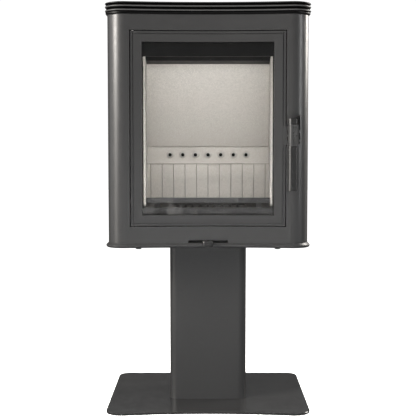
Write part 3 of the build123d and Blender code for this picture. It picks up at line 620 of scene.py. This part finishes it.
# ---- dressing the CAD nodes ------------------------------------------------------------------
# Nodes that don't look like the rest of their material slot.
OWN_FINISH = {
    "log_guard": "guard_steel",
    # painted shade: the baffle board is darkened where the deflector above shades its front
    "baffle_board": "inner_steel",
    "hinge_pins": "handle_paint",
    "handle_block": "block_paint",
    # painted shade: the latch hook is near-black so that the slot round it reads as shade
    "latch_hook": "inner_steel",
    "rear_air_board": "air_board",
    "rear_upper_board": "rear_board",
    "rear_ribbed_board": "rear_board",
    # painted shade: the grate is near-black to join the shaded hearth under the log guard
    "grate": "inner_steel",
}
# Nodes whose edges are rounded, by the width of the rounding.
SOFT_EDGES = {
    0.9 * MM: ("rear_upper_board", "left_side_board", "right_side_board", "baffle_board",
               "hearth_front_board", "hearth_rear_board", "hearth_left_board", "hearth_right_board"),
    0.4 * MM: ("rear_ribbed_board", "ash_pan", "board_retainers", "pedestal_rear_cover"),
}


def soften(node, width):
    """Merge a node's loose triangles and round its sharp edges, as modifiers only."""
    weld = node.modifiers.new("Join triangles", "WELD")
    weld.merge_threshold = 0.00001
    bevel = node.modifiers.new("Worn edge", "BEVEL")
    bevel.width = width
    bevel.segments = 2
    bevel.limit_method = "ANGLE"
    bevel.angle_limit = math.radians(38)
    bevel.harden_normals = True
    bevel.use_clamp_overlap = True


# ---- stage helpers ---------------------------------------------------------------------------
# Ten lamps stand round the stove. Two more, both hidden from reflections, hang inside the
# firebox to lift the lining.
NEUTRAL = (1.0, 1.0, 1.0)
WARM = (1.0, 0.955, 0.9)
LAMPS = (
    # name, place, aimed at, width, height, power, colour, seen in reflections
    ("Front lamp", (0.0, -3.3, 0.5), (0.0, 0.0, 0.65), 3.2, 1.4, 86.0, NEUTRAL, False),
    ("Low lamp", (0.0, -0.8, 0.38), (0.0, -0.15, 0.4), 0.5, 0.12, 5.0, NEUTRAL, False),
    ("Top lamp", (0.0, -1.6, 2.6), (0.0, -0.1, 0.6), 2.4, 1.2, 7.0, NEUTRAL, True),
    ("Left strip", (-1.9, -1.25, 1.62), (-0.2, -0.15, 0.95), 0.75, 1.0, 140.0, WARM, True),
    ("Left low strip", (-1.9, -1.25, 0.55), (-0.2, -0.15, 0.5), 0.6, 0.9, 9.0, WARM, True),
    ("Left wall", (-2.4, 0.1, 1.1), (0.0, 0.0, 0.6), 1.6, 1.8, 10.0, NEUTRAL, True),
    ("Right soft", (1.95, -1.2, 1.3), (0.25, -0.15, 0.8), 0.3, 1.5, 22.0, NEUTRAL, True),
    ("Right rim", (1.75, 0.8, 1.55), (0.25, -0.12, 0.9), 0.6, 1.1, 62.0, WARM, True),
    ("Right low rim", (1.75, 0.8, 0.55), (0.25, -0.12, 0.5), 0.5, 0.9, 1.5, WARM, True),
    ("Back lamp", (0.0, 2.6, 1.9), (0.0, 0.0, 0.7), 2.4, 1.4, 10.0, NEUTRAL, True),
    ("Hearth glow", (0.0, -0.09, 0.54), (0.0, 0.12, 0.53), 0.3, 0.02, 0.2, NEUTRAL, False),
    ("Firebox glow", (0.0, -0.085, 0.893), (0.0, 0.12, 0.74), 0.28, 0.04, 0.06, NEUTRAL, False),
)


def add_lamp(name, place, target, width, height, power, colour, glossy):
    """Soft rectangular lamp aimed at a point."""
    data = bpy.data.lights.new(name, "AREA")
    data.shape = "RECTANGLE"
    data.size = width
    data.size_y = height
    data.energy = power
    data.color = colour
    lamp = bpy.data.objects.new(name, data)
    lamp.location = place
    lamp.rotation_euler = (Vector(target) - Vector(place)).to_track_quat("-Z", "Y").to_euler()
    lamp.visible_glossy = glossy
    lamp.visible_camera = False
    bpy.context.scene.collection.objects.link(lamp)


def add_room(strength):
    """World that lights evenly and looks plain white where it is seen directly."""
    world = bpy.data.worlds.new("Studio")
    world.use_nodes = True
    tree = world.node_tree
    background = tree.nodes["Background"]
    background.inputs["Color"].default_value = (1.0, 1.0, 1.0, 1.0)
    seen = tree.nodes.new("ShaderNodeLightPath").outputs["Is Camera Ray"]
    choose = tree.nodes.new("ShaderNodeMapRange")
    choose.inputs["To Min"].default_value = strength
    choose.inputs["To Max"].default_value = 1.05
    tree.links.new(seen, choose.inputs["Value"])
    tree.links.new(choose.outputs[0], background.inputs["Strength"])
    bpy.context.scene.world = world


def add_floor():
    """Plain pale floor, large enough to have no edge in view."""
    reach = 12.0
    mesh = bpy.data.meshes.new("Studio floor")
    corners = [(-reach, -reach, 0.0), (reach, -reach, 0.0), (reach, reach, 0.0), (-reach, reach, 0.0)]
    mesh.from_pydata(corners, [], [(0, 1, 2, 3)])
    finish = Finish("Studio floor", 0.9)
    tone = finish.noise(3.0, 2.0)
    finish.set("Base Color", finish.mix(tone, (0.9, 0.9, 0.9, 1.0), (0.93, 0.93, 0.93, 1.0)))
    finish.set("Specular IOR Level", 0.1)
    finish.set("Emission Color", (1.0, 1.0, 1.0, 1.0))
    finish.set("Emission Strength", 1.1)
    mesh.materials.append(finish.material)
    floor = bpy.data.objects.new("Studio_floor", mesh)
    bpy.context.scene.collection.objects.link(floor)
    floor.visible_diffuse = False
    floor.visible_glossy = False


# ---- operators -------------------------------------------------------------------------------
FINISH_NAMES = {}       # material name of each finish, filled by the finishes operator


def material_of(finish):
    """The material made earlier for a finish."""
    return bpy.data.materials[FINISH_NAMES[finish]]


class STOVE_OT_stage(bpy.types.Operator):
    """Make the camera, the lamps, the room and the floor"""

    bl_idname = "stove.stage"
    bl_label = "Stage"

    def execute(self, context):
        stage = context.scene.stove_stage
        data = bpy.data.cameras.new("Camera")
        data.lens = stage.lens
        data.sensor_width = 36.0
        camera = bpy.data.objects.new("Camera", data)
        camera.location = stage.camera_place
        camera.rotation_euler = (math.pi / 2 - stage.camera_pitch, 0.0, 0.0)
        context.scene.collection.objects.link(camera)
        context.scene.camera = camera
        context.scene.view_settings.view_transform = "Standard"
        for name, place, target, width, height, power, colour, glossy in LAMPS:
            add_lamp(name, place, target, width, height, power * stage.lamp_scale, colour, glossy)
        add_room(stage.sky)
        add_floor()
        return {"FINISHED"}


class STOVE_OT_finishes(bpy.types.Operator):
    """Make the finishes and give every CAD node its own, with softened edges"""

    bl_idname = "stove.finishes"
    bl_label = "Paint, iron, steel and boards"

    def execute(self, context):
        for slot, material in finishes(context.scene.stove_colours).items():
            FINISH_NAMES[slot] = material.name
        slots = {part["node"]: part["material_slot"] for part in frame["record"]["subparts"]}
        for name, node in frame["nodes"].items():
            node.data.materials.clear()
            node.data.materials.append(material_of(OWN_FINISH.get(name, slots[name])))
        for width, names in SOFT_EDGES.items():
            for name in names:
                soften(frame["nodes"][name], width)
        return {"FINISHED"}


class STOVE_OT_crown(bpy.types.Operator):
    """Make the crown with its three beads"""

    bl_idname = "stove.crown"
    bl_label = "Crown moulding"

    def execute(self, context):
        grid = crown_grid(context.scene.stove_shape)
        mesh = skin("Crown_moulding", grid, wrap_rows=True, wrap_columns=True)
        mark_grooves(mesh)
        add_piece("Crown_moulding", mesh, "root", ["crown"], material_of("crown_paint"))
        return {"FINISHED"}


class STOVE_OT_pane(bpy.types.Operator):
    """Make the door's curved pane"""

    bl_idname = "stove.pane"
    bl_label = "Door pane"

    def execute(self, context):
        mesh = skin("Door_pane", pane_grid(context.scene.stove_shape), wrap_rows=True)
        add_piece("Door_pane", mesh, "door", ["door_glass"], material_of("door_glass"))
        return {"FINISHED"}


class STOVE_OT_rope(bpy.types.Operator):
    """Make the braided rope seal on the back of the door"""

    bl_idname = "stove.rope"
    bl_label = "Rope seal"

    def execute(self, context):
        grid = rope_grid(context.scene.stove_shape)
        mesh = skin("Door_rope", grid, wrap_rows=True, wrap_columns=True, crease=math.pi)
        add_piece("Door_rope", mesh, "door", ["door_rope_seal"], material_of("rope"))
        return {"FINISHED"}


class STOVE_OT_knob(bpy.types.Operator):
    """Make the rounded knob of the air lever"""

    bl_idname = "stove.knob"
    bl_label = "Air lever knob"

    def execute(self, context):
        mesh = skin("Air_knob", knob_grid(context.scene.stove_shape), wrap_rows=True, crease=math.pi)
        material = material_of("handle_paint")
        add_piece("Air_knob", mesh, "air_slider", ["air_lever_knob"], material)
        return {"FINISHED"}


OPERATORS = (
    STOVE_OT_stage,
    STOVE_OT_finishes,
    STOVE_OT_crown,
    STOVE_OT_pane,
    STOVE_OT_rope,
    STOVE_OT_knob,
)


class STOVE_PT_panel(bpy.types.Panel):
    """Lists the stove's pieces, sizes and colours"""

    bl_idname = "STOVE_PT_panel"
    bl_label = "Stove"
    bl_space_type = "VIEW_3D"
    bl_region_type = "UI"
    bl_category = "Stove"

    def draw(self, context):
        for operator in OPERATORS:
            self.layout.operator(operator.bl_idname, text=operator.bl_label)
        for group in (context.scene.stove_shape, context.scene.stove_colours, context.scene.stove_stage):
            box = self.layout.box()
            for name in group.__annotations__:
                box.prop(group, name)


GROUPS = {"stove_shape": StoveShape, "stove_colours": StoveColours, "stove_stage": StoveStage}
CLASSES = tuple(GROUPS.values()) + OPERATORS + (STOVE_PT_panel,)


def register():
    for cls in CLASSES:
        bpy.utils.register_class(cls)
    for name, group in GROUPS.items():
        setattr(bpy.types.Scene, name, bpy.props.PointerProperty(type=group))


def unregister():
    for name in GROUPS:
        delattr(bpy.types.Scene, name)
    for cls in reversed(CLASSES):
        bpy.utils.unregister_class(cls)


def main():
    register()
    bpy.ops.stove.stage()
    bpy.ops.stove.finishes()
    bpy.ops.stove.crown()
    bpy.ops.stove.pane()
    bpy.ops.stove.rope()
    bpy.ops.stove.knob()


if __name__ == "__main__":
    main()
